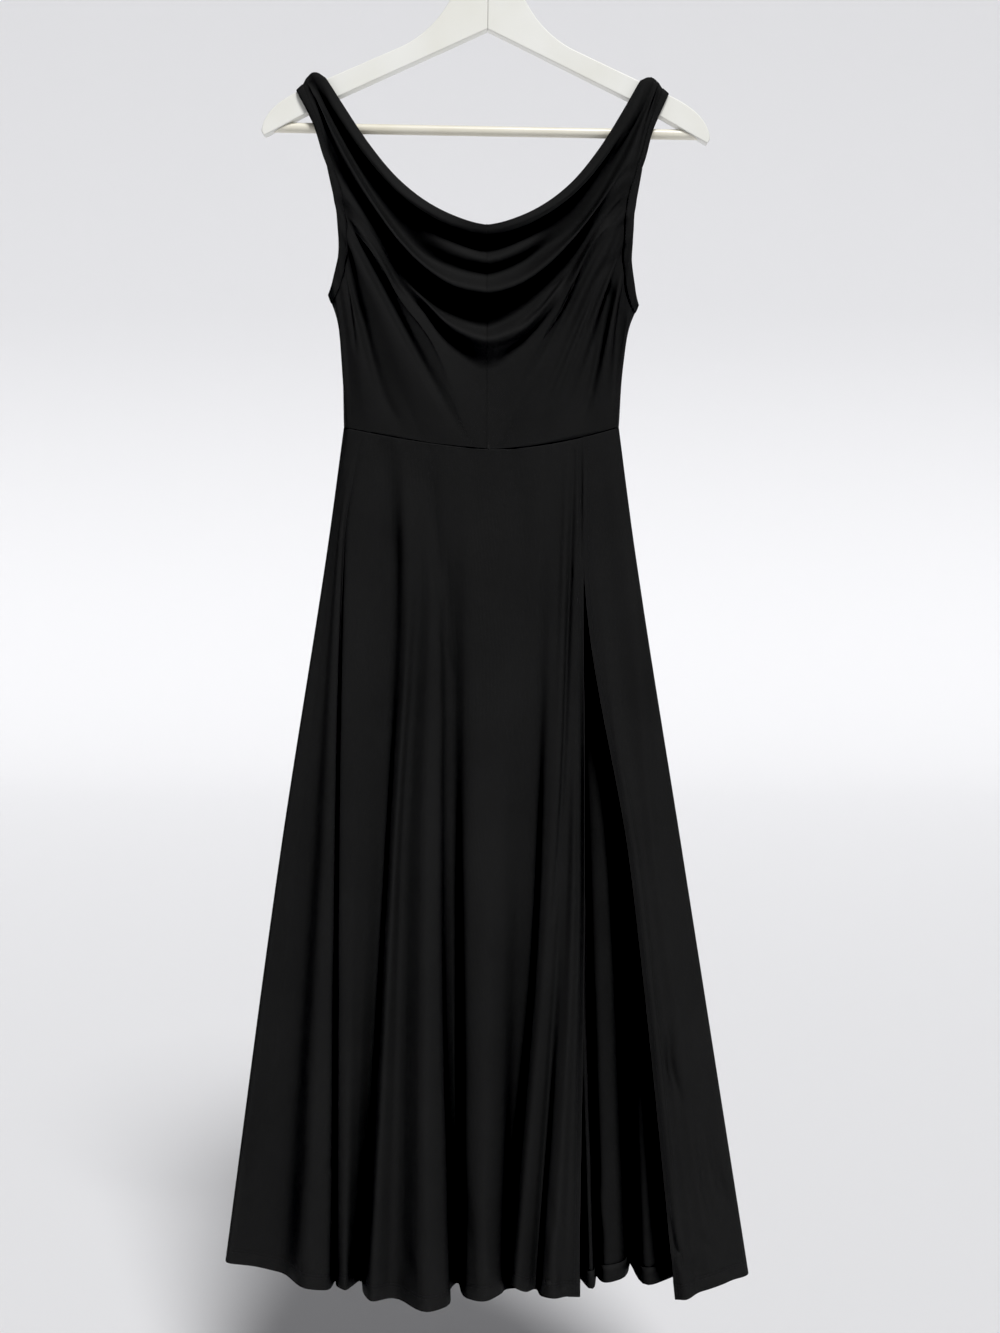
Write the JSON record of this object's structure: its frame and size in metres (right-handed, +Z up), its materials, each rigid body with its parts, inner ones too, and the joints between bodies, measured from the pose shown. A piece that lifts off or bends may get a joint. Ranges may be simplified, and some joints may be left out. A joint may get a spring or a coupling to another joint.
{
  "type": "maxi dress on a hanger",
  "caption": "Sleeveless jersey maxi dress with a draped cowl front and a thigh slit, hung by its straps on a wooden clothes hanger with a trouser bar.",
  "frame": {"origin": "inside top of the hanger's hook, where a rail carries it", "axes": "+Z up; the dress's front faces -Y; +X is to the right for someone looking at the front"},
  "size_m": [0.547, 0.106, 1.4196],
  "materials": {
    "jersey": "matte black viscose jersey with a soft sheen",
    "binding": "folded strip of the same black jersey",
    "painted_wood": "satin white paint",
    "painted_dowel": "glossier, creamier white paint",
    "hook_wire": "plated steel wire"
  },
  "bodies": {
    "root": {"bodice_front_left": "jersey", "bodice_front_right": "jersey", "bodice_back": "jersey", "armhole_binding_left": "binding", "armhole_binding_right": "binding", "skirt_front": "jersey", "skirt_front_side": "jersey", "skirt_back": "jersey", "hanger_arm_left": "painted_wood", "hanger_arm_right": "painted_wood", "trouser_bar": "painted_dowel", "hanger_hook": "hook_wire"}
  },
  "joints": []
}
